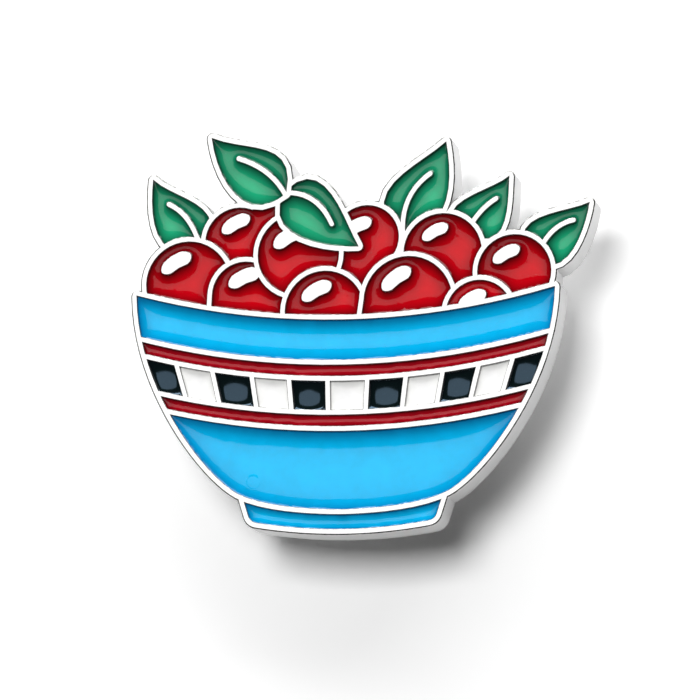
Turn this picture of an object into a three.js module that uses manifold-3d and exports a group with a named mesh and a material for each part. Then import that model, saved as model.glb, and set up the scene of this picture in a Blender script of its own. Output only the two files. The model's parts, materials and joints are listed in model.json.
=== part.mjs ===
// A needle minder: a cast and plated metal plate in the shape of a bowl of cherries, with
// coloured enamel in its recesses. A disc magnet is glued to its back, and a loose disc
// magnet clamps it through the cloth. Millimetres, face up: +Z comes out of the face, +Y
// runs up the picture, and the origin is the centre of the loose magnet's outer face.

import * as THREE from "three";
import { mergeVertices } from "three/addons/utils/BufferGeometryUtils.js";
import Module from "manifold-3d";

const wasm = await Module();
wasm.setup();

// Metal plate: the raised lines between the recesses, and the border round the picture
const plateThickness = 3;
const lineWidth = 0.38;
const borderWidth = 0.43;
const pocketDepth = 0.7;

// Enamel: how far its surface lies below the lines, and its gap to their walls
const enamelBelowLines = 0.25;
const enamelClearance = 0.02;

// The two magnets, and the glue that is squeezed out round the upper one
const magnetDiameter = 12;
const magnetThickness = 2;
const magnetChamfer = 0.25;
const glueThickness = 0.1;
const glueBeadWidth = 0.6;
const glueBeadHeight = 0.45;
const glueClearance = 0.02;

// The bowl's picture, from the edge of one colour to the edge of the next
const rimHalfWidth = 14.42;
const rimMiddleY = 1.37;
const rimBandHeight = 2.72;
const stripeHeight = 0.73;
const tileHeight = 1.94;
const bodyHeight = 5.29;
const bandRadius = 54;

// The bowl's side: it leaves the rim almost upright and turns into the floor at a shoulder
const wallDrop = 6.46;
const wallDrawIn = 0.15;
const shoulderOutsideFoot = 0.4;
const shoulderAboveFloor = 1.17;
const shoulderSlope = 28.5;
const shoulderToWall = 2.61;
const shoulderToFloor = 2.41;
const floorFlat = 0.4;

// Where the lines between the tiles meet the upper stripe, and how they draw in lower down
const tileLines = [-11.56, -9.07, -6.33, -3.76, -1.09, 1.63, 4.28, 6.79, 9.24, 11.56];
const tileTaper = 0.95;

// The foot ring under the bowl
const footHalfWidth = 6.82;
const footDrawIn = 0.5;
const footHeight = 0.96;
const footRadius = 35;
const footCorner = 0.4;
const footTuck = 1.2;

// The cherries: centre and radius, and the raised shine on each one, placed from its centre.
// Where the red runs on past the circle, the corners of that stretch are given as well.
const cherries = [
  { centre: [-10.86, 4.11], radius: 2.9, shine: { at: [-0.87, 1.48], length: 2.43, turn: 30 } },
  {
    centre: [-7.33, 6.95],
    radius: 2.33,
    shine: { at: [-0.27, 1.24], length: 2.27, turn: 28 },
    runsOn: [[-6.5, 9.1], [-5.4, 7.7], [-4.6, 8.5], [-4.6, 9.5]],
  },
  { centre: [-3.2, 5.98], radius: 2.79, shine: { at: [-0.7, 1.2], length: 2.5, turn: 30 } },
  {
    centre: [-6.87, 3.24],
    radius: 2.28,
    shine: { at: [-0.1, 1.2], length: 2.45, turn: 24 },
    runsOn: [[-9.15, 3.3], [-9.25, 0.9], [-4, 0.9], [-4, 3.6], [-5, 4.2]],
  },
  { centre: [-1.36, 2.05], radius: 2.71, shine: { at: [-0.58, 1.37], length: 2.38, turn: 28 } },
  {
    centre: [1.52, 7.03],
    radius: 2.19,
    shine: { at: [-0.7, 0.75], length: 2.3, turn: 27 },
    runsOn: [[-0.4, 6.2], [-0.4, 5], [1, 3.5], [1.4, 3.5], [2.9, 5.2]],
  },
  {
    centre: [4.39, 2.62],
    radius: 3.02,
    shine: { at: [-0.84, 1.54], length: 2.48, turn: 36 },
    runsOn: [[1.37, 2.7], [1.17, 1.2], [4.4, 1.2]],
  },
  { centre: [6.76, 5.87], radius: 2.66, shine: { at: [-0.55, 1.43], length: 2.06, turn: 27 } },
  { centre: [11.67, 4.46], radius: 2.5, shine: { at: [-0.57, 1.2], length: 2.14, turn: 28 } },
  { centre: [9.28, 1.64], radius: 2.25, shine: { at: [-0.5, 0.97], length: 2.2, turn: 28 } },
];

// A shine of length 1: a bean, full above and drawn in below
const shineOutline = [
  [-0.5, -0.05],
  [-0.33, -0.198],
  [0, -0.186],
  [0.33, -0.208],
  [0.5, -0.04],
  [0.38, 0.16],
  [0, 0.235],
  [-0.38, 0.15],
];

// The leaves: tip and base, the two handles of each side from the tip down, and the raised
// vein by its free end, its bend and the point where it runs into the border
const leaves = [
  {
    tip: [-13.38, 11.35],
    base: [-9.67, 6.76],
    left: [[-13.58, 9.16], [-13.43, 5.1]],
    right: [[-11.97, 10], [-8.14, 9.63]],
    vein: [[-12.29, 9.66], [-10.69, 8.92], [-10.04, 6.6]],
  },
  {
    tip: [-9.3, 14.17],
    base: [-4.12, 10.2],
    left: [[-8.93, 11.51], [-7.07, 7.85]],
    right: [[-6.86, 13.12], [-3.38, 14.01]],
    vein: [[-7.44, 12.71], [-4.87, 11.89], [-3.9, 9.6]],
  },
  {
    tip: [0.92, 6.44],
    base: [-4.14, 10.36],
    left: [[-0.09, 8.16], [-1.41, 13.03]],
    right: [[-1.17, 6.33], [-5.92, 7.17]],
    vein: [[-0.9, 8], [-1.95, 10.27], [-4.1, 10.25]],
  },
  {
    tip: [6.94, 13.46],
    base: [4.02, 6.85],
    left: [[4.94, 11.7], [0.51, 10.25]],
    right: [[7.38, 10.93], [7.49, 7.57]],
    vein: [[5.89, 11.33], [3.8, 9.91], [4.02, 7.14]],
  },
  {
    tip: [11.28, 10.97],
    base: [8.64, 7.08],
    left: [[10.27, 10.01], [5.06, 9.12]],
    right: [[11.17, 9.7], [11.45, 5.47]],
    vein: [[10.41, 9.47], [9.24, 8.78], [8.51, 7.39]],
  },
  {
    tip: [16.76, 9.02],
    base: [13.1, 5.25],
    left: [[15.19, 8.28], [10.49, 8.43]],
    right: [[16.53, 7.48], [15.34, 3.52]],
    vein: [[15.71, 7.86], [14.16, 7.57], [13.34, 5.76]],
  },
];

// How finely round shapes are cut into flats, and when two corners are one
const circleSteps = 40;
const curveSteps = 10;
const beanSteps = 20;
const cornerStep = 0.5;
const magnetSteps = 48;
const beadSteps = 4;
const mergeDistance = 1e-5;

// Heights, from the loose magnet's outer face up
const gluedMagnetZ = magnetThickness;
const glueZ = gluedMagnetZ + magnetThickness;
const plateBackZ = glueZ + glueThickness;
const plateFaceZ = plateBackZ + plateThickness;
const pocketFloorZ = plateFaceZ - pocketDepth;
const enamelTopZ = plateFaceZ - enamelBelowLines;

// How far a cutting solid runs past what it cuts
const cutPast = 1;

// Levels of the bands at the bowl's axis, from the rim down, and the bowl's half width
const rimBottomY = rimMiddleY - rimBandHeight;
const upperStripeY = rimBottomY - lineWidth;
const tileTopY = upperStripeY - stripeHeight - lineWidth;
const tileBottomY = tileTopY - tileHeight;
const lowerStripeY = tileBottomY - lineWidth;
const bodyTopY = lowerStripeY - stripeHeight - lineWidth;
const bowlFloorY = bodyTopY - bodyHeight;
const footTopY = bowlFloorY - lineWidth;
const footBottomY = footTopY - footHeight;
const outerHalfWidth = rimHalfWidth + borderWidth;

const finishes = {
  metal: { color: "#e6e8ea", metalness: 1, roughness: 0.22 },
  magnet: { color: "#c9ccd0", metalness: 1, roughness: 0.25 },
  glue: { color: "#e9e4d2", metalness: 0, roughness: 0.4 },
  blue: { color: "#22aee8", metalness: 0, roughness: 0.15 },
  red: { color: "#c4141f", metalness: 0, roughness: 0.15 },
  darkRed: { color: "#8a1620", metalness: 0, roughness: 0.15 },
  black: { color: "#0c1418", metalness: 0, roughness: 0.15 },
  white: { color: "#f7f6f1", metalness: 0, roughness: 0.15 },
  green: { color: "#1c8a58", metalness: 0, roughness: 0.15 },
};

function vector([x, y]) {
  return new THREE.Vector2(x, y);
}

function cubic(...corners) {
  return new THREE.CubicBezierCurve(...corners.map(vector));
}

// Moves a closed anticlockwise outline outwards, and rounds the corners that stick out
function offsetOutline(points, distance) {
  const middle = new THREE.Vector2();
  return points.flatMap((here, i) => {
    const before = here.clone().sub(points.at(i - 1)).normalize();
    const after = points[(i + 1) % points.length].clone().sub(here).normalize();
    const turn = Math.atan2(before.cross(after), before.dot(after));
    const outwards = new THREE.Vector2(before.y, -before.x);
    const moved = (angle, reach) => {
      return outwards.clone().rotateAround(middle, angle).multiplyScalar(reach).add(here);
    };
    if (distance <= 0 || turn <= cornerStep) {
      return [moved(turn / 2, distance / Math.cos(turn / 2))];
    }
    const steps = Math.ceil(turn / cornerStep);
    return Array.from({ length: steps + 1 }, (_, k) => moved((turn * k) / steps, distance));
  });
}

// The height of a band's edge at a distance from the bowl's axis
function bandY(middleY, x, radius = bandRadius) {
  return middleY + radius - Math.sqrt(radius * radius - x * x);
}

// A band's edge from the left to the right
function bandEdge(middleY, halfWidth, radius = bandRadius) {
  return Array.from({ length: 2 * curveSteps + 1 }, (_, k) => {
    const x = halfWidth * (k / curveSteps - 1);
    return new THREE.Vector2(x, bandY(middleY, x, radius));
  });
}

// The bowl from the middle of its floor up its right side, over the rim and down the left
function bowlOutline(offset) {
  const rimCorner = [rimHalfWidth, bandY(rimMiddleY, rimHalfWidth)];
  const shoulder = [footHalfWidth + shoulderOutsideFoot, bowlFloorY + shoulderAboveFloor];
  const slope = THREE.MathUtils.degToRad(shoulderSlope);
  const alongSlope = (reach) => {
    return [shoulder[0] + reach * Math.cos(slope), shoulder[1] + reach * Math.sin(slope)];
  };
  const floorEnd = [0, bowlFloorY];
  const floor = cubic(floorEnd, [floorFlat, bowlFloorY], alongSlope(-shoulderToFloor), shoulder);
  const wallTop = [rimCorner[0] - wallDrawIn, rimCorner[1] - wallDrop];
  const wall = cubic(shoulder, alongSlope(shoulderToWall), wallTop, rimCorner);
  const right = [...floor.getPoints(curveSteps), ...wall.getPoints(2 * curveSteps).slice(1)];
  const rim = bandEdge(rimMiddleY, rimHalfWidth).slice(1, -1).reverse();
  const left = right.slice(1).map((point) => new THREE.Vector2(-point.x, point.y)).reverse();
  return offsetOutline([...right, ...rim, ...left], offset);
}

// The foot ring, whose upper part is hidden by the bowl
function footOutline(offset) {
  const bottomHalfWidth = footHalfWidth - footDrawIn;
  const floor = bandEdge(footBottomY, bottomHalfWidth - footCorner, footRadius);
  const corner = [bottomHalfWidth, bandY(footBottomY, bottomHalfWidth, footRadius)];
  const top = [footHalfWidth, footTopY + footTuck];
  const rise = corner[1] + footCorner;
  const lean = (footDrawIn * footCorner) / (top[1] - corner[1]);
  const turn = new THREE.QuadraticBezierCurve(
    floor.at(-1),
    vector(corner),
    new THREE.Vector2(corner[0] + lean, rise),
  );
  const right = [...turn.getPoints(curveSteps / 2).slice(1), vector(top)];
  const left = right.map((point) => new THREE.Vector2(-point.x, point.y)).reverse();
  return offsetOutline([...floor, ...right, ...left], offset);
}

// The space between two band edges, wide enough to be cut to the bowl's sides
function bandOutline(topY, bottomY, clearance) {
  const top = bandEdge(topY - clearance, outerHalfWidth);
  return [...bandEdge(bottomY + clearance, outerHalfWidth), ...top.reverse()];
}

// The space between two tile lines, which reaches past the tile band
function tileOutline([left, right], clearance) {
  const inset = lineWidth / 2 + clearance;
  const lowY = tileBottomY - tileHeight;
  const highY = bandY(tileTopY, rimHalfWidth) + tileHeight;
  const lineX = (x, y) => x * (1 - ((1 - tileTaper) * (bandY(tileTopY, x) - y)) / tileHeight);
  return [
    new THREE.Vector2(lineX(left, lowY) + inset, lowY),
    new THREE.Vector2(lineX(right, lowY) - inset, lowY),
    new THREE.Vector2(lineX(right, highY) - inset, highY),
    new THREE.Vector2(lineX(left, highY) + inset, highY),
  ];
}

function cherryOutlines({ centre, radius, runsOn }, offset) {
  const circle = new THREE.EllipseCurve(...centre, radius + offset, radius + offset);
  const round = circle.getPoints(circleSteps).slice(1);
  return runsOn ? [round, offsetOutline(runsOn.map(vector), offset)] : [round];
}

function shineOutlineOn({ centre, shine }, offset) {
  const middle = new THREE.Vector2();
  const turn = THREE.MathUtils.degToRad(shine.turn);
  const knots = shineOutline.map(([x, y]) => new THREE.Vector3(x, y, 0));
  const bean = new THREE.CatmullRomCurve3(knots, true).getPoints(beanSteps).slice(1);
  const placed = bean.map(({ x, y }) => {
    const point = new THREE.Vector2(x, y).multiplyScalar(shine.length);
    return point.rotateAround(middle, turn).add(vector(centre)).add(vector(shine.at));
  });
  return offsetOutline(placed, offset);
}

function leafOutline(leaf, offset) {
  const left = cubic(leaf.tip, ...leaf.left, leaf.base).getPoints(curveSteps);
  const right = cubic(leaf.tip, ...leaf.right, leaf.base).getPoints(curveSteps);
  const points = [...left, ...right.reverse().slice(1, -1)];
  return offsetOutline(THREE.ShapeUtils.area(points) < 0 ? points.reverse() : points, offset);
}

// A vein is a raised line with a round free end
function veinOutline(leaf, offset) {
  const [end, bend, root] = leaf.vein.map(vector);
  const curve = new THREE.QuadraticBezierCurve(end, bend, root);
  const halfWidth = lineWidth / 2 + offset;
  const right = [];
  const left = [];
  for (let k = 0; k <= curveSteps; k += 1) {
    const here = curve.getPoint(k / curveSteps);
    const along = curve.getTangent(k / curveSteps);
    const across = new THREE.Vector2(along.y, -along.x).multiplyScalar(halfWidth);
    right.push(here.clone().sub(across));
    left.push(here.clone().add(across));
  }
  const roundSteps = curveSteps / 2;
  const roundEnd = [];
  for (let k = 1; k < roundSteps; k += 1) {
    roundEnd.push(right[0].clone().rotateAround(end, (Math.PI * k) / roundSteps));
  }
  return [...left, ...right.reverse(), ...roundEnd];
}

// A geometry as a solid that can be joined and cut
function solidOf(geometry) {
  geometry.deleteAttribute("normal");
  geometry.deleteAttribute("uv");
  const merged = mergeVertices(geometry, mergeDistance);
  return new wasm.Manifold(
    new wasm.Mesh({
      numProp: 3,
      vertProperties: merged.attributes.position.array,
      triVerts: new Uint32Array(merged.index.array),
    }),
  );
}

function geometryOf(solid) {
  const { vertProperties, triVerts } = solid.getMesh();
  const geometry = new THREE.BufferGeometry();
  geometry.setAttribute("position", new THREE.BufferAttribute(vertProperties, 3));
  geometry.setIndex(new THREE.BufferAttribute(triVerts, 1));
  geometry.computeVertexNormals();
  return geometry;
}

// Upright solids over one or more outlines, joined
function prism(outlines, bottomZ, topZ) {
  const solids = outlines.map((outline) => {
    const settings = { depth: topZ - bottomZ, bevelEnabled: false, steps: 1 };
    const geometry = new THREE.ExtrudeGeometry(new THREE.Shape(outline), settings);
    return solidOf(geometry.translate(0, 0, bottomZ));
  });
  return solids.reduce((joined, solid) => joined.add(solid));
}

function cherryShape(number) {
  const cherry = cherries[number - 1];
  return {
    name: `cherry_enamel_${number}`,
    finish: "red",
    outlines: (offset) => cherryOutlines(cherry, offset),
    raised: (offset) => [shineOutlineOn(cherry, offset)],
  };
}

function leafShape(number) {
  const leaf = leaves[number - 1];
  return {
    name: `leaf_enamel_${number}`,
    finish: "green",
    outlines: (offset) => [leafOutline(leaf, offset)],
    raised: (offset) => [veinOutline(leaf, offset)],
  };
}

// The shapes of the picture from the front to the back: each hides what lies behind it
const picture = [
  { outlines: (offset) => [bowlOutline(offset)] },
  { name: "foot_enamel", finish: "blue", outlines: (offset) => [footOutline(offset)] },
  ...[2, 3].map(leafShape),
  ...[10, 7, 9, 5, 3, 4, 1, 6, 2, 8].map(cherryShape),
  ...[4, 5, 1, 6].map(leafShape),
];
const [bowl, ...behindBowl] = picture;

// The bands across the bowl, with the tiles as stretches of one band
const tileBounds = [-outerHalfWidth, ...tileLines, outerHalfWidth];
const tiles = tileBounds.slice(1).map((right, k) => {
  const isWhite = k % 2 === 1;
  const number = Math.floor(k / 2) + 1;
  return {
    name: `${isWhite ? "white" : "dark"}_tile_enamel_${number}`,
    finish: isWhite ? "white" : "black",
    topY: tileTopY,
    bottomY: tileBottomY,
    between: [tileBounds[k], right],
  };
});
const stripe = (name, topY) => ({ name, finish: "darkRed", topY, bottomY: topY - stripeHeight });
const bands = [
  { name: "rim_band_enamel", finish: "blue", topY: rimMiddleY + rimBandHeight, bottomY: rimBottomY },
  stripe("upper_stripe_enamel", upperStripeY),
  ...tiles,
  stripe("lower_stripe_enamel", lowerStripeY),
  { name: "bowl_body_enamel", finish: "blue", topY: bodyTopY, bottomY: bowlFloorY - bodyHeight },
];

// A band's enamel: the bowl's outline, cut to the band and to the tile's two lines
function bandFill(band, clearance, bottomZ, topZ) {
  const cutter = (outline) => prism([outline], bottomZ - cutPast, topZ + cutPast);
  const fill = prism(bowl.outlines(-clearance), bottomZ, topZ);
  const strip = fill.intersect(cutter(bandOutline(band.topY, band.bottomY, clearance)));
  return band.between ? strip.intersect(cutter(tileOutline(band.between, clearance))) : strip;
}

// The enamel of the foot, a cherry or a leaf: its outline less its raised metal and less
// each shape in front of it, with a line's width of metal round that shape
function shapeFill(shape, clearance, bottomZ, topZ) {
  const inFront = picture.slice(0, picture.indexOf(shape));
  const cuts = inFront.map((front) => front.outlines(lineWidth + clearance));
  if (shape.raised) {
    cuts.push(shape.raised(clearance));
  }
  return cuts.reduce(
    (fill, outlines) => fill.subtract(prism(outlines, bottomZ - cutPast, topZ + cutPast)),
    prism(shape.outlines(-clearance), bottomZ, topZ),
  );
}

const fills = [
  ...bands.map((band) => ({ ...band, solid: (...sizes) => bandFill(band, ...sizes) })),
  ...behindBowl.map((shape) => ({ ...shape, solid: (...sizes) => shapeFill(shape, ...sizes) })),
];

// The plate under the whole picture, with a pocket for each stretch of enamel
function plateSolid() {
  const whole = picture.flatMap((shape) => shape.outlines(borderWidth));
  return fills.reduce(
    (plate, { solid }) => plate.subtract(solid(0, pocketFloorZ, plateFaceZ + cutPast)),
    prism(whole, plateBackZ, plateFaceZ),
  );
}

// A profile of radius and height, from the axis round to the axis, turned into a solid
function turnedSolid(profile) {
  const geometry = new THREE.LatheGeometry(profile.map(vector), magnetSteps);
  return solidOf(geometry.rotateX(Math.PI / 2));
}

// A disc magnet with chamfered edges, standing on z = 0
function magnetSolid() {
  const radius = magnetDiameter / 2;
  return turnedSolid([
    [0, 0],
    [radius - magnetChamfer, 0],
    [radius, magnetChamfer],
    [radius, magnetThickness - magnetChamfer],
    [radius - magnetChamfer, magnetThickness],
    [0, magnetThickness],
  ]);
}

// The glue on the magnet's back, from z = 0 up, and its hollow bead down the magnet's side
function glueSolid() {
  const innerRadius = magnetDiameter / 2 + glueClearance;
  const bead = new THREE.QuadraticBezierCurve(
    new THREE.Vector2(innerRadius, -glueBeadHeight),
    new THREE.Vector2(innerRadius, 0),
    new THREE.Vector2(innerRadius + glueBeadWidth, 0),
  );
  const hollow = bead.getPoints(beadSteps).map((point) => point.toArray());
  return turnedSolid([
    [0, 0],
    [innerRadius, 0],
    ...hollow,
    [innerRadius + glueBeadWidth, glueThickness],
    [0, glueThickness],
  ]);
}

const needleMinder = new THREE.Group();

function addPiece(name, finish, solid, z = 0) {
  const material = new THREE.MeshStandardMaterial(finishes[finish]);
  const mesh = new THREE.Mesh(geometryOf(solid), material);
  mesh.name = name;
  mesh.position.z = z;
  needleMinder.add(mesh);
}

addPiece("metal_plate", "metal", plateSolid());
for (const { name, finish, solid } of fills) {
  addPiece(name, finish, solid(enamelClearance, pocketFloorZ, enamelTopZ));
}
addPiece("magnet_glue", "glue", glueSolid(), glueZ);
addPiece("glued_magnet", "magnet", magnetSolid(), gluedMagnetZ);
addPiece("backing_magnet", "magnet", magnetSolid());

export default needleMinder;
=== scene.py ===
import json
import math

import bmesh
import bpy
from mathutils import Matrix, Vector, noise
from mathutils.bvhtree import BVHTree


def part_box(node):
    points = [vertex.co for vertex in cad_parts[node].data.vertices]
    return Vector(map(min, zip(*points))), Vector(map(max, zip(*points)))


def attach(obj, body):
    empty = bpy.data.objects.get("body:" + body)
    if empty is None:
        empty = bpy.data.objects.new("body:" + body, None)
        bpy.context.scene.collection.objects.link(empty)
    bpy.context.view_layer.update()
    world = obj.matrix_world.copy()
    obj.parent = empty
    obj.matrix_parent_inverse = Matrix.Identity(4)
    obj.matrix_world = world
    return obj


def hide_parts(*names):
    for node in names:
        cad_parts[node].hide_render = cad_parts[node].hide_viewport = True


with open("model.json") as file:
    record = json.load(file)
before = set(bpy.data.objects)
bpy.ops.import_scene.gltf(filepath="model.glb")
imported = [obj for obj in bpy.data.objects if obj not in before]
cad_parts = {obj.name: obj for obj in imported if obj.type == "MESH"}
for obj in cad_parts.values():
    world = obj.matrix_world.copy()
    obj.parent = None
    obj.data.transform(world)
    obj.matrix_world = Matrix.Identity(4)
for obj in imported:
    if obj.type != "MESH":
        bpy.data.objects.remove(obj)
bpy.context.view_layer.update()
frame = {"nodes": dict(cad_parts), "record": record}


# Metal plate
# One casting in zinc alloy: the raised lines of the picture, the border and the side wall.
# The face is ground and polished, the wall and the back stay as they come out of the
# tumbling drum, and the whole is plated with nickel.
MM = 0.001
SAME_POINT = 0.002 * MM
LINE_ROUNDING = 0.04 * MM
OUTER_ROUNDING = 0.09 * MM
ROUNDING_STEPS = 3
LONGEST_TIP = 0.16 * MM
# Angles between two faces: still one flat, smooth, smooth beside a flat, and not yet rounded.
FLAT_TO = math.radians(0.5)
SMOOTH_TO = math.radians(35)
FLAT_SMOOTH_TO = math.radians(12)
STILL_SQUARE_FROM = math.radians(57)
# How far a face looks up, from 0 on an upright wall to 1 on a flat.
LEVEL = 0.999
NEARLY_LEVEL = 0.99
WALL_BELOW = 0.5
# The finish, from the wall to the ground face. The painted edge shade starts where the wall ends.
WALL_UP_TO = 0.2
FACE_FROM = 0.95
EDGE_SHADE_FULL_FROM = 0.5
EDGE_SHADE_FULL_TO = 0.88
EDGE_SHADE_GONE_AT = 0.98
WALL_ROUGHNESS = 0.42
FACE_ROUGHNESS = 0.1
# Lit and shaded copies of one nickel: the wall's grey against the near-white face is painted
# shade.
SHADED_WALL_METAL = "#cecece"
POLISHED_METAL = "#fdfdfc"
# Painted shade: a dark broken line on the rounded edges, in place of the dark they mirror.
PAINTED_EDGE_SHADE = "#4a4843"
# Patterns: the width of a patch, and what the noise, mostly from 0.3 to 0.7, is turned into.
NOISE_LOW = 0.3
NOISE_HIGH = 0.7
PLATE_GRAIN = 0.12 * MM
PLATE_GRAIN_DEPTH = 0.006 * MM
PLATE_WEAR = 1.6 * MM
LEAST_WEAR = -0.03
MOST_WEAR = 0.05
# Patches that break the painted edge shade into a broken line.
EDGE_SHADE_PATCH = 0.3 * MM
EDGE_SHADE_WHOLE_FROM = 0.6
LEAST_EDGE_SHADE = 0.3


def merged_copy(node):
    """A CAD node's solid with its loose triangles joined and its flats made whole."""
    bm = bmesh.new()
    bm.from_mesh(frame["nodes"][node].data)
    bmesh.ops.remove_doubles(bm, verts=bm.verts, dist=SAME_POINT)
    bmesh.ops.dissolve_limit(bm, angle_limit=FLAT_TO, verts=bm.verts, edges=bm.edges)
    bm.normal_update()
    return bm


def outline_edges(bm, height, facing):
    """The edges at one height between a flat that faces up (1) or down (-1) and a wall."""
    found = []
    for edge in bm.edges:
        level = all(abs(vert.co.z - height) < SAME_POINT for vert in edge.verts)
        if level and min(face.normal.z * facing for face in edge.link_faces) < WALL_BELOW:
            found.append(edge)
    return found


def round_edges(bm, edges, size, segments):
    """Rounds sharp edges, which no cast, ground or tumbled piece keeps."""
    bmesh.ops.bevel(
        bm,
        geom=edges,
        offset=size,
        offset_type="OFFSET",
        segments=segments,
        profile=0.5,
        affect="EDGES",
        material=-1,
        clamp_overlap=False,
        loop_slide=False,
    )
    bmesh.ops.remove_doubles(bm, verts=bm.verts, dist=SAME_POINT)


def finished(name, bm, material, body, node):
    """Puts a piece in the scene in place of its CAD node."""
    for face in bm.faces:
        face.smooth = True
    for edge in bm.edges:
        on_flats = sum(abs(face.normal.z) > LEVEL for face in edge.link_faces)
        smooth_to = FLAT_SMOOTH_TO if on_flats == 1 else SMOOTH_TO
        edge.smooth = edge.calc_face_angle(math.pi) < smooth_to
    mesh = bpy.data.meshes.new(name)
    bm.to_mesh(mesh)
    bm.free()
    mesh.materials.append(material)
    piece = bpy.data.objects.new(name, mesh)
    bpy.context.scene.collection.objects.link(piece)
    weighted = piece.modifiers.new("flats_stay_flat", "WEIGHTED_NORMAL")
    weighted.keep_sharp = True
    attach(piece, body)
    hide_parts(node)


def linear(hex_colour):
    """An sRGB hex value as a linear colour."""
    parts = [int(hex_colour[k : k + 2], 16) / 255 for k in (1, 3, 5)]
    bent = [p / 12.92 if p <= 0.04045 else ((p + 0.055) / 1.055) ** 2.4 for p in parts]
    return (*bent, 1)


def add(tree, kind, inputs, **settings):
    """Adds a node: sockets among the inputs are linked, and other values are set.

    Inputs go by number where names repeat. Map Range takes its value, the two ends that it
    comes from and the two that it goes to as 0 to 4. Mix takes its colours as 6 and 7.
    """
    node = tree.nodes.new(kind)
    for name, value in settings.items():
        setattr(node, name, value)
    for name, value in inputs.items():
        if isinstance(value, bpy.types.NodeSocket):
            tree.links.new(value, node.inputs[name])
        else:
            node.inputs[name].default_value = value
    return node


def new_material(name, inputs):
    """A material with one principled shader, its tree, its shader and its coordinates."""
    material = bpy.data.materials.new(name)
    material.use_nodes = True
    tree = material.node_tree
    shader = tree.nodes["Principled BSDF"]
    for socket, value in inputs.items():
        shader.inputs[socket].default_value = value
    return material, tree, shader, add(tree, "ShaderNodeTexCoord", {})


def nickel_plated_casting():
    """Nickel on a zinc casting: a mirror on the ground face, satin on the tumbled wall.

    A fine dark broken line along the rounded edges is painted shade, standing in for the dark that
    those edges mirror. The wall's grain is finer than a picture shows, so it is drawn coarser.
    """
    material, tree, shader, coords = new_material("nickel_plated_casting", {"Metallic": 1})
    place = coords.outputs["Object"]
    facing = add(tree, "ShaderNodeSeparateXYZ", {0: coords.outputs["Normal"]})
    polish = add(
        tree,
        "ShaderNodeMapRange",
        {
            0: facing.outputs["Z"],
            1: WALL_UP_TO,
            2: FACE_FROM,
            3: WALL_ROUGHNESS,
            4: FACE_ROUGHNESS,
        },
    )
    # The wall drawn grey and the face near-white: painted shade on the sideways walls. The tumbled
    # finish shows only in the roughness.
    tone = add(
        tree,
        "ShaderNodeMapRange",
        {0: facing.outputs["Z"], 1: WALL_UP_TO, 2: FACE_FROM, 3: 0, 4: 1},
    )
    metal = add(
        tree,
        "ShaderNodeMix",
        {"Factor": tone.outputs[0], 6: linear(SHADED_WALL_METAL), 7: linear(POLISHED_METAL)},
        data_type="RGBA",
    )
    # Painted shade along the rounded edges, between the wall and the ground face.
    off_the_wall = add(
        tree,
        "ShaderNodeMapRange",
        {0: facing.outputs["Z"], 1: WALL_UP_TO, 2: EDGE_SHADE_FULL_FROM, 3: 0, 4: 1},
    )
    off_the_face = add(
        tree,
        "ShaderNodeMapRange",
        {0: facing.outputs["Z"], 1: EDGE_SHADE_FULL_TO, 2: EDGE_SHADE_GONE_AT, 3: 1, 4: 0},
    )
    patches = add(
        tree,
        "ShaderNodeTexNoise",
        {"Vector": place, "Scale": 1 / EDGE_SHADE_PATCH, "Detail": 2},
    )
    left = add(
        tree,
        "ShaderNodeMapRange",
        {0: patches.outputs[0], 1: NOISE_LOW, 2: EDGE_SHADE_WHOLE_FROM, 3: LEAST_EDGE_SHADE, 4: 1},
    )
    edge = add(
        tree,
        "ShaderNodeMath",
        {0: off_the_wall.outputs[0], 1: off_the_face.outputs[0]},
        operation="MULTIPLY",
    )
    edge = add(
        tree,
        "ShaderNodeMath",
        {0: edge.outputs[0], 1: left.outputs[0]},
        operation="MULTIPLY",
    )
    # The metal darkened on the rounded edges: painted shade.
    edge_shaded = add(
        tree,
        "ShaderNodeMix",
        {"Factor": edge.outputs[0], 6: metal.outputs[2], 7: linear(PAINTED_EDGE_SHADE)},
        data_type="RGBA",
    )
    tree.links.new(edge_shaded.outputs[2], shader.inputs["Base Color"])
    cloud = add(
        tree,
        "ShaderNodeTexNoise",
        {"Vector": place, "Scale": 1 / PLATE_WEAR, "Detail": 3},
    )
    worn = add(
        tree,
        "ShaderNodeMapRange",
        {0: cloud.outputs[0], 1: NOISE_LOW, 2: NOISE_HIGH, 3: LEAST_WEAR, 4: MOST_WEAR},
    )
    rough = add(
        tree,
        "ShaderNodeMath",
        {0: polish.outputs[0], 1: worn.outputs[0]},
        operation="ADD",
    )
    tree.links.new(rough.outputs[0], shader.inputs["Roughness"])
    grain = add(
        tree,
        "ShaderNodeTexNoise",
        {"Vector": place, "Scale": 1 / PLATE_GRAIN, "Detail": 2},
    )
    depth = add(
        tree,
        "ShaderNodeMath",
        {0: polish.outputs[0], 1: PLATE_GRAIN_DEPTH},
        operation="MULTIPLY",
    )
    bump = add(
        tree,
        "ShaderNodeBump",
        {"Height": grain.outputs[0], "Distance": depth.outputs[0], "Strength": 1},
    )
    tree.links.new(bump.outputs[0], shader.inputs["Normal"])
    return material


def blunt_tips(bm, height):
    """Draws back a long point that the rounding leaves on the face at a sharp notch."""
    for vert in bm.verts:
        if abs(vert.co.z - height) < SAME_POINT:
            for edge in vert.link_edges:
                run = vert.co - edge.other_vert(vert).co
                if run.z > SAME_POINT and run.xy.length > LONGEST_TIP:
                    run.z = 0
                    vert.co -= run * (1 - LONGEST_TIP / run.length)


def refill_flat(bm, height, facing):
    """Fills a flat again between its rounded edges, with all its openings."""
    flat = [
        face
        for face in bm.faces
        if face.normal.z * facing > NEARLY_LEVEL
        and abs(face.verts[0].co.z - height) < SAME_POINT
    ]
    border = [e for f in flat for e in f.edges if sum(g in flat for g in e.link_faces) == 1]
    bmesh.ops.delete(bm, geom=flat, context="FACES_KEEP_BOUNDARY")
    bmesh.ops.triangle_fill(bm, use_beauty=True, edges=border, normal=(0, 0, facing))


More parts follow.
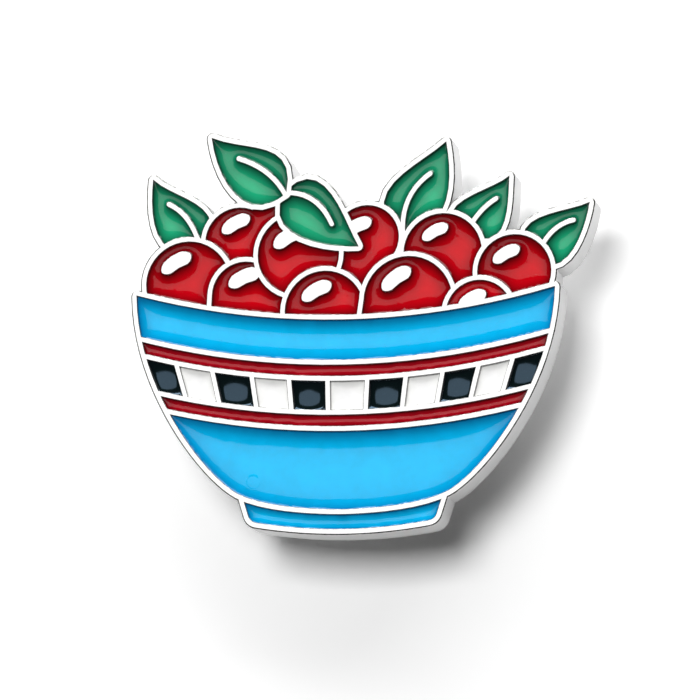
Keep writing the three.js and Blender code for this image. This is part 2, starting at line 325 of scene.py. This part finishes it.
plate_low, plate_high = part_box("metal_plate")
plate = merged_copy("metal_plate")
line_edges = [
    edge
    for edge in outline_edges(plate, plate_high.z, 1)
    if all(vert.co.z > plate_low.z + SAME_POINT for face in edge.link_faces for vert in face.verts)
]
round_edges(plate, line_edges, LINE_ROUNDING, ROUNDING_STEPS)
border_edges = [
    edge
    for edge in outline_edges(plate, plate_high.z, 1)
    if edge.calc_face_angle() > STILL_SQUARE_FROM
]
border_edges += outline_edges(plate, plate_low.z, -1)
round_edges(plate, border_edges, OUTER_ROUNDING, ROUNDING_STEPS)
blunt_tips(plate, plate_high.z)
refill_flat(plate, plate_high.z, 1)
finished(
    "cast_plate",
    plate,
    nickel_plated_casting(),
    "minder",
    "metal_plate",
)


# Enamel
# Coloured resin, dosed into each pocket with a needle and cured in an oven. It climbs the
# metal lines and sags between them, in a dark tile as one round cup, and cures to a mirror
# gloss. A bubble has burst low in the bowl and left a faint ring.
CLEARANCE = 0.02 * MM
# Where the enamel meets the metal, how far its climb reaches, and how far it sags.
CONTACT_HEIGHT = plate_high.z - 0.19 * MM
MENISCUS_RUN = 0.5 * MM
FULL_SAG = 0.23 * MM
LEVEL_SAG = 0.1 * MM
CUP_SAG = 0.4 * MM
CELL_PITCH = 0.12 * MM
SETTLING_ROUNDS = 40
SMOOTHING = 0.5
# The cup: how steeply its sides rise, how much of the way to the corners it fills, the share
# and reach of the climb at the walls, and its lowest point from the tile's middle.
CUP_POWER = 3.8
CUP_REACH = 0.92
CUP_CLIMB = 0.1
CUP_CLIMB_RUN = 0.08 * MM
CUP_LOWEST = Vector((-0.1, -0.08, 0)) * MM
ENAMEL_CLOUD = 0.9 * MM
CLOUD_DARKEST = 0.95
CLOUD_LIGHTEST = 1.04
ENAMEL_PEEL = 0.7 * MM
ENAMEL_PEEL_DEPTH = 0.004 * MM
BUBBLE_AT = Vector((-6.24, -9.58, 6.67)) * MM
BUBBLE_RADIUS = 0.48 * MM
BUBBLE_RIM = 0.07 * MM
BUBBLE_RIM_HEIGHT = 0.008 * MM
CLIMBED = "climbed"
# How far the darkening at the walls reaches in: partly painted shade of the pocket walls.
WALL_SHADE_SPREAD = 0.77
NEUTRAL_GLOSS = "#ffffff"
BLUISH_GLOSS = "#b6ddff"
# Each enamel's colour where it is thin and where it is thick, the thick one partly painted shade
# at the walls, its sag, its roughness, its refraction and the tint of its gloss.
ENAMELS = {
    "blue_enamel": ("#00c5ff", "#0070ac", FULL_SAG, 0.05, 1.5, NEUTRAL_GLOSS),
    "dark_red_enamel": ("#b80018", "#4a0006", FULL_SAG, 0.05, 1.5, NEUTRAL_GLOSS),
    "black_enamel": ("#05110f", "#030a09", CUP_SAG, 0.12, 1.85, BLUISH_GLOSS),
    "white_enamel": ("#ffffff", "#fafaf7", LEVEL_SAG, 0.05, 1.5, NEUTRAL_GLOSS),
    "red_enamel": ("#d80013", "#520005", FULL_SAG, 0.05, 1.42, NEUTRAL_GLOSS),
    "green_enamel": ("#1fb480", "#043c2a", FULL_SAG, 0.05, 1.56, NEUTRAL_GLOSS),
}
CUPPED = "black_enamel"


def soft_enamel(slot, thin_colour, thick_shaded_colour, roughness, refraction, gloss_colour):
    """Cured resin with a wet gloss, drawn darker where it climbs a wall: deeper resin, and painted
    shade.

    The pigment has settled in faint clouds, and the gloss has a slight orange peel.
    """
    settings = {
        "Roughness": roughness,
        "IOR": refraction,
        "Specular Tint": linear(gloss_colour),
    }
    material, tree, shader, coords = new_material(f"cured_resin_{slot}", settings)
    place = coords.outputs["Object"]
    cloud = add(
        tree,
        "ShaderNodeTexNoise",
        {"Vector": place, "Scale": 1 / ENAMEL_CLOUD, "Detail": 4},
    )
    lightness = add(
        tree,
        "ShaderNodeMapRange",
        {
            0: cloud.outputs[0],
            1: NOISE_LOW,
            2: NOISE_HIGH,
            3: CLOUD_DARKEST,
            4: CLOUD_LIGHTEST,
        },
    )
    # Darker where the resin climbs the walls: thicker resin there, and painted shade of the pocket
    # walls.
    climbed = add(tree, "ShaderNodeAttribute", {}, attribute_name=CLIMBED)
    wall_shade = add(
        tree,
        "ShaderNodeMath",
        {0: climbed.outputs["Fac"], 1: WALL_SHADE_SPREAD},
        operation="POWER",
    )
    depth = add(
        tree,
        "ShaderNodeMix",
        {"Factor": wall_shade.outputs[0], 6: linear(thin_colour), 7: linear(thick_shaded_colour)},
        data_type="RGBA",
    )
    shade = add(
        tree,
        "ShaderNodeHueSaturation",
        {"Color": depth.outputs[2], "Value": lightness.outputs[0]},
    )
    tree.links.new(shade.outputs[0], shader.inputs["Base Color"])
    peel = add(
        tree,
        "ShaderNodeTexNoise",
        {"Vector": place, "Scale": 1 / ENAMEL_PEEL, "Detail": 1},
    )
    bump = add(
        tree,
        "ShaderNodeBump",
        {"Height": peel.outputs[0], "Distance": ENAMEL_PEEL_DEPTH, "Strength": 1},
    )
    off_bubble = add(
        tree,
        "ShaderNodeVectorMath",
        {0: place, 1: BUBBLE_AT},
        operation="DISTANCE",
    )
    off_rim = add(
        tree,
        "ShaderNodeMath",
        {0: off_bubble.outputs["Value"], 1: BUBBLE_RADIUS},
        operation="SUBTRACT",
    )
    off_rim = add(tree, "ShaderNodeMath", {0: off_rim.outputs[0]}, operation="ABSOLUTE")
    rim = add(
        tree,
        "ShaderNodeMapRange",
        {0: off_rim.outputs[0], 1: 0, 2: BUBBLE_RIM, 3: 1, 4: 0},
    )
    burst = add(
        tree,
        "ShaderNodeBump",
        {
            "Height": rim.outputs[0],
            "Distance": BUBBLE_RIM_HEIGHT,
            "Strength": 1,
            "Normal": bump.outputs[0],
        },
    )
    tree.links.new(burst.outputs[0], shader.inputs["Normal"])
    return material


def fill_to_walls(bm):
    """Moves the enamel's walls out by the clearance, so that it touches the metal."""
    for vert in bm.verts:
        walls = [face.normal for face in vert.link_faces if abs(face.normal.z) < WALL_BELOW]
        if walls:
            first = walls[0]
            last = min(walls, key=first.dot)
            vert.co += CLEARANCE * (first + last) / (1 + first.dot(last))


def lattice(bm, faces):
    """Cuts a flat into small squares, and gives those corners that are off the walls."""
    low, high = (Vector(f(v.co[k] for v in bm.verts) for k in range(3)) for f in (min, max))
    geom = [*faces, *{e for f in faces for e in f.edges}, *{v for f in faces for v in f.verts}]
    for axis in (0, 1):
        direction = Vector((axis == 0, axis == 1, 0))
        for k in range(1, math.ceil((high[axis] - low[axis]) / CELL_PITCH)):
            place = low + direction * (k * CELL_PITCH)
            cut = bmesh.ops.bisect_plane(
                bm, geom=geom, plane_co=place, plane_no=direction, dist=SAME_POINT
            )
            geom = cut["geom"]
    verts = [item for item in geom if isinstance(item, bmesh.types.BMVert)]
    return [v for v in verts if all(f.normal.z > WALL_BELOW for f in v.link_faces)]


def cell_fill(node):
    """One cell's enamel out to its walls, with its top cut into squares and still level.

    Gives the mesh, the walls to measure from, the top's points and those off the walls.
    """
    bm = merged_copy(node)
    bm.verts.layers.float.new(CLIMBED)
    fill_to_walls(bm)
    walls = bm.copy()
    flats = [face for face in walls.faces if abs(face.normal.z) > WALL_BELOW]
    bmesh.ops.delete(walls, geom=flats, context="FACES")
    wall_tree = BVHTree.FromBMesh(walls)
    walls.free()
    cad_top = max(vert.co.z for vert in bm.verts)
    inside = lattice(bm, [face for face in bm.faces if face.normal.z > WALL_BELOW])
    top = [vert for vert in bm.verts if abs(vert.co.z - cad_top) < SAME_POINT]
    return bm, wall_tree, top, inside


def mark_climb(bm, top):
    """Writes on each of the top's points how far it stands above the lowest, from 0 to 1."""
    climbed = bm.verts.layers.float[CLIMBED]
    heights = [vert.co.z for vert in top]
    low = min(heights)
    high = max(heights)
    for vert in top:
        vert[climbed] = (vert.co.z - low) / (high - low)


def poured_enamel(node, sag):
    """One cell's enamel: it meets the metal just below the face and sags between the lines.

    Smoothing rounds it off, and the pull back to the sagged level keeps the climb short.
    """
    bm, wall_tree, top, inside = cell_fill(node)
    level = CONTACT_HEIGHT - sag
    for vert in top:
        reach = wall_tree.find_nearest(vert.co)[3]
        vert.co.z = level + sag * math.exp(-reach / MENISCUS_RUN)
    pull = SMOOTHING * (CELL_PITCH / MENISCUS_RUN) ** 2 / 4
    for _ in range(SETTLING_ROUNDS):
        bmesh.ops.smooth_vert(
            bm,
            verts=inside,
            factor=SMOOTHING,
            use_axis_x=False,
            use_axis_y=False,
            use_axis_z=True,
        )
        for vert in inside:
            vert.co.z += pull * (level - vert.co.z)
    mark_climb(bm, top)
    return bm


def cupped_enamel(node, sag):
    """A square tile's enamel: it climbs the corners and leaves one round cup between them."""
    bm, wall_tree, top, _ = cell_fill(node)
    low, high = (Vector(f(vert.co[k] for vert in top) for k in range(3)) for f in (min, max))
    lowest = (low + high) / 2 + CUP_LOWEST
    radius = CUP_REACH * max((vert.co - lowest).length for vert in top)
    for vert in top:
        cup = min(1, (vert.co - lowest).length / radius) ** CUP_POWER
        climb = math.exp(-wall_tree.find_nearest(vert.co)[3] / CUP_CLIMB_RUN)
        rise = cup * (1 - CUP_CLIMB) + climb * CUP_CLIMB
        vert.co.z = CONTACT_HEIGHT - sag * (1 - rise)
    mark_climb(bm, top)
    return bm


for slot, (thin_colour, thick_shaded_colour, sag, *look) in ENAMELS.items():
    enamel = soft_enamel(slot, thin_colour, thick_shaded_colour, *look)
    settled = cupped_enamel if slot == CUPPED else poured_enamel
    for subpart in frame["record"]["subparts"]:
        if subpart["material_slot"] == slot:
            node = subpart["node"]
            finished(f"poured_{node}", settled(node, sag), enamel, "minder", node)


# Glued magnet and its glue
# A sintered disc magnet, plated with nickel, bedded in a drop of clear glue on the back of
# the plate. The glue is squeezed out into an uneven bead round the magnet's edge.
MAGNET_STEPS = 128
MAGNET_ROUNDING = 0.25 * MM
MAGNET_ROUNDING_STEPS = 4
MAGNET_METAL = "#c8c9ca"
MAGNET_LEAST_ROUGH = 0.16
MAGNET_MOST_ROUGH = 0.3
MAGNET_PEBBLE = 0.25 * MM
MAGNET_PEBBLE_DEPTH = 0.004 * MM
GLUE_COLOUR = "#efe9d6"
GLUE_BUBBLE = 0.5 * MM
GLUE_BUBBLE_DEPTH = 0.03 * MM
BEAD_STEPS = 6
BEAD_WAVES_PER_METRE = 0.35 / MM
BEAD_MEAN_REACH = 0.75
BEAD_SWING = 0.35


def nickel_plated_magnet():
    """Barrel-plated nickel on sintered metal: bright, its fine pebbled skin drawn coarser."""
    settings = {"Base Color": linear(MAGNET_METAL), "Metallic": 1}
    material, tree, shader, coords = new_material("nickel_plated_magnet", settings)
    place = coords.outputs["Object"]
    pebble = add(
        tree,
        "ShaderNodeTexNoise",
        {"Vector": place, "Scale": 1 / MAGNET_PEBBLE, "Detail": 3},
    )
    rough = add(
        tree,
        "ShaderNodeMapRange",
        {
            0: pebble.outputs[0],
            1: NOISE_LOW,
            2: NOISE_HIGH,
            3: MAGNET_LEAST_ROUGH,
            4: MAGNET_MOST_ROUGH,
        },
    )
    tree.links.new(rough.outputs[0], shader.inputs["Roughness"])
    bump = add(
        tree,
        "ShaderNodeBump",
        {"Height": pebble.outputs[0], "Distance": MAGNET_PEBBLE_DEPTH, "Strength": 1},
    )
    tree.links.new(bump.outputs[0], shader.inputs["Normal"])
    return material


def disc_magnet(node):
    """A pressed and sintered disc, its rims rounded by tumbling before it is plated."""
    low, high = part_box(node)
    radius = (high.x - low.x) / 2
    height = high.z - low.z
    bm = bmesh.new()
    bmesh.ops.create_cone(
        bm,
        cap_ends=True,
        segments=MAGNET_STEPS,
        radius1=radius,
        radius2=radius,
        depth=height,
        matrix=Matrix.Translation((low + high) / 2),
    )
    rims = outline_edges(bm, high.z, 1) + outline_edges(bm, low.z, -1)
    round_edges(bm, rims, MAGNET_ROUNDING, MAGNET_ROUNDING_STEPS)
    return bm


def set_glue():
    """Glue that has set clear, a little yellow, with small bubbles in it."""
    settings = {
        "Base Color": linear(GLUE_COLOUR),
        "Roughness": 0.18,
        "IOR": 1.47,
        "Transmission Weight": 0.6,
    }
    material, tree, shader, coords = new_material("set_clear_glue", settings)
    bubbles = add(
        tree,
        "ShaderNodeTexVoronoi",
        {"Vector": coords.outputs["Object"], "Scale": 1 / GLUE_BUBBLE},
    )
    bump = add(
        tree,
        "ShaderNodeBump",
        {"Height": bubbles.outputs[0], "Distance": GLUE_BUBBLE_DEPTH, "Strength": 0.6},
    )
    tree.links.new(bump.outputs[0], shader.inputs["Normal"])
    return material


def glue_bead(node, magnet_node):
    """The bead's hollow profile, spun round the magnet and drawn in unevenly."""
    low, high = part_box(node)
    magnet_low, magnet_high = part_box(magnet_node)
    inner = (magnet_high.x - magnet_low.x) / 2
    outer = high.x
    profile = [(0, magnet_high.z), (inner, magnet_high.z)]
    for k in range(BEAD_STEPS + 1):
        turn = math.pi / 2 * k / BEAD_STEPS
        across = inner + (outer - inner) * (1 - math.cos(turn))
        profile.append((across, low.z + (high.z - low.z) * math.sin(turn)))
    profile.append((0, high.z))
    bm = bmesh.new()
    verts = [bm.verts.new((radius, 0, height)) for radius, height in profile]
    edges = [bm.edges.new(pair) for pair in zip(verts, verts[1:])]
    bmesh.ops.spin(
        bm,
        geom=verts + edges,
        axis=(0, 0, 1),
        angle=math.tau,
        steps=MAGNET_STEPS,
        use_merge=True,
    )
    bmesh.ops.remove_doubles(bm, verts=bm.verts, dist=SAME_POINT)
    bmesh.ops.recalc_face_normals(bm, faces=bm.faces)
    for vert in bm.verts:
        radius = math.hypot(vert.co.x, vert.co.y)
        if radius > inner + SAME_POINT:
            wave = noise.noise(vert.co * BEAD_WAVES_PER_METRE)
            bulge = BEAD_MEAN_REACH + BEAD_SWING * wave
            kept = inner + (radius - inner) * min(1, bulge)
            vert.co.x *= kept / radius
            vert.co.y *= kept / radius
    return bm


magnet_metal = nickel_plated_magnet()
finished(
    "plated_disc_glued",
    disc_magnet("glued_magnet"),
    magnet_metal,
    "minder",
    "glued_magnet",
)
finished(
    "glue_bead",
    glue_bead("magnet_glue", "glued_magnet"),
    set_glue(),
    "minder",
    "magnet_glue",
)


# Backing magnet
# The same plated disc once more, loose. It goes behind the cloth, where only the pull of the
# glued magnet holds it.
finished(
    "plated_disc_loose",
    disc_magnet("backing_magnet"),
    magnet_metal,
    "backing",
    "backing_magnet",
)


# Table
# A plain matt white sheet, on which the loose magnet lies, also when the rest is lifted off.
# The camera and the reflections see it whiter than it lights the object, and it still takes
# the object's shadow.
FLOOR_SIZE = 3
FLOOR_COLOUR = "#f4f4f4"
SEEN_WHITE = (1.18, 1.18, 1.18, 1)

floor_mesh = bmesh.new()
bmesh.ops.create_grid(floor_mesh, x_segments=1, y_segments=1, size=FLOOR_SIZE / 2)
mesh = bpy.data.meshes.new("table")
floor_mesh.to_mesh(mesh)
floor_mesh.free()
table = bpy.data.objects.new("table", mesh)
bpy.context.scene.collection.objects.link(table)
floor_material, floor_tree, floor_shader, _ = new_material(
    "matt_white_sheet", {"Roughness": 1, "Specular IOR Level": 0}
)
path = add(floor_tree, "ShaderNodeLightPath", {})
seen = add(
    floor_tree,
    "ShaderNodeMath",
    {0: path.outputs["Is Camera Ray"], 1: path.outputs["Is Glossy Ray"]},
    operation="MAXIMUM",
)
seen = add(
    floor_tree,
    "ShaderNodeMath",
    {0: seen.outputs[0], 1: path.outputs["Is Transmission Ray"]},
    operation="MAXIMUM",
)
pale = add(
    floor_tree,
    "ShaderNodeMix",
    {"Factor": seen.outputs[0], 6: linear(FLOOR_COLOUR), 7: SEEN_WHITE},
    data_type="RGBA",
)
floor_tree.links.new(pale.outputs[2], floor_shader.inputs["Base Color"])
mesh.materials.append(floor_material)
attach(table, "backing")


# Studio
# A wide soft panel stands low behind the top of the picture and gives the shading. A strip
# softbox hangs overhead, where the flats of the enamel mirror it, and a second lamp beside it
# fills in without a reflection of its own. Each has its direction, its size and its watts.
BACK_PANEL = ((-0.12, 0.9, 0.4), (2, 0.5), 13.5)
STRIP_SOFTBOX = ((-0.245, 0.185, 0.952), (0.62, 0.3), 0.64)
OVERHEAD_FILL = ((-0.16, 0.2, 0.97), (0.4, 0.4), 6.2)
ROOM_COLOUR = "#3f3f3f"


def turned_to(direction):
    """The rotation that looks back along a direction, with its width level."""
    right = Vector((0, 1, 0)).cross(direction).normalized()
    return Matrix((right, direction.cross(right), direction)).transposed().to_4x4()


def soft_lamp(name, towards, size, power):
    """An area lamp one metre away from the object, turned to it."""
    data = bpy.data.lights.new(name, "AREA")
    data.shape = "RECTANGLE"
    data.size, data.size_y = size
    data.energy = power
    lamp = bpy.data.objects.new(name, data)
    bpy.context.scene.collection.objects.link(lamp)
    direction = Vector(towards).normalized()
    lamp.matrix_world = Matrix.Translation(direction) @ turned_to(direction)
    return lamp


soft_lamp("back_panel", *BACK_PANEL)
soft_lamp("strip_softbox", *STRIP_SOFTBOX)
fill = soft_lamp("overhead_fill", *OVERHEAD_FILL)
fill.visible_glossy = False
world = bpy.data.worlds.new("dim_room")
world.use_nodes = True
background = world.node_tree.nodes["Background"]
background.inputs["Color"].default_value = linear(ROOM_COLOUR)
bpy.context.scene.world = world


# Camera
# It looks almost straight down on the face, from a little below and to the right of the
# picture, so that the side wall shows along the right and under the foot.
CAMERA_TILT = math.radians(14)
CAMERA_TURN = math.radians(-41)
CAMERA_ROLL = math.radians(0.52)
CAMERA_DISTANCE = 350 * MM
CAMERA_AIM = Vector((0.44 * MM, -0.71 * MM, plate_high.z))
CAMERA_NEAREST = 10 * MM
FRAME_WIDTHS_TO_FOCUS = 7.379

camera = bpy.data.objects.new("camera", bpy.data.cameras.new("camera"))
bpy.context.scene.collection.objects.link(camera)
across = math.sin(CAMERA_TILT)
back = Vector(
    (across * math.cos(CAMERA_TURN), across * math.sin(CAMERA_TURN), math.cos(CAMERA_TILT))
)
camera.matrix_world = (
    Matrix.Translation(CAMERA_AIM + back * CAMERA_DISTANCE)
    @ turned_to(back)
    @ Matrix.Rotation(CAMERA_ROLL, 4, "Z")
)
camera.data.lens = FRAME_WIDTHS_TO_FOCUS * camera.data.sensor_width
camera.data.clip_start = CAMERA_NEAREST
bpy.context.scene.camera = camera
bpy.context.scene.view_settings.view_transform = "Standard"
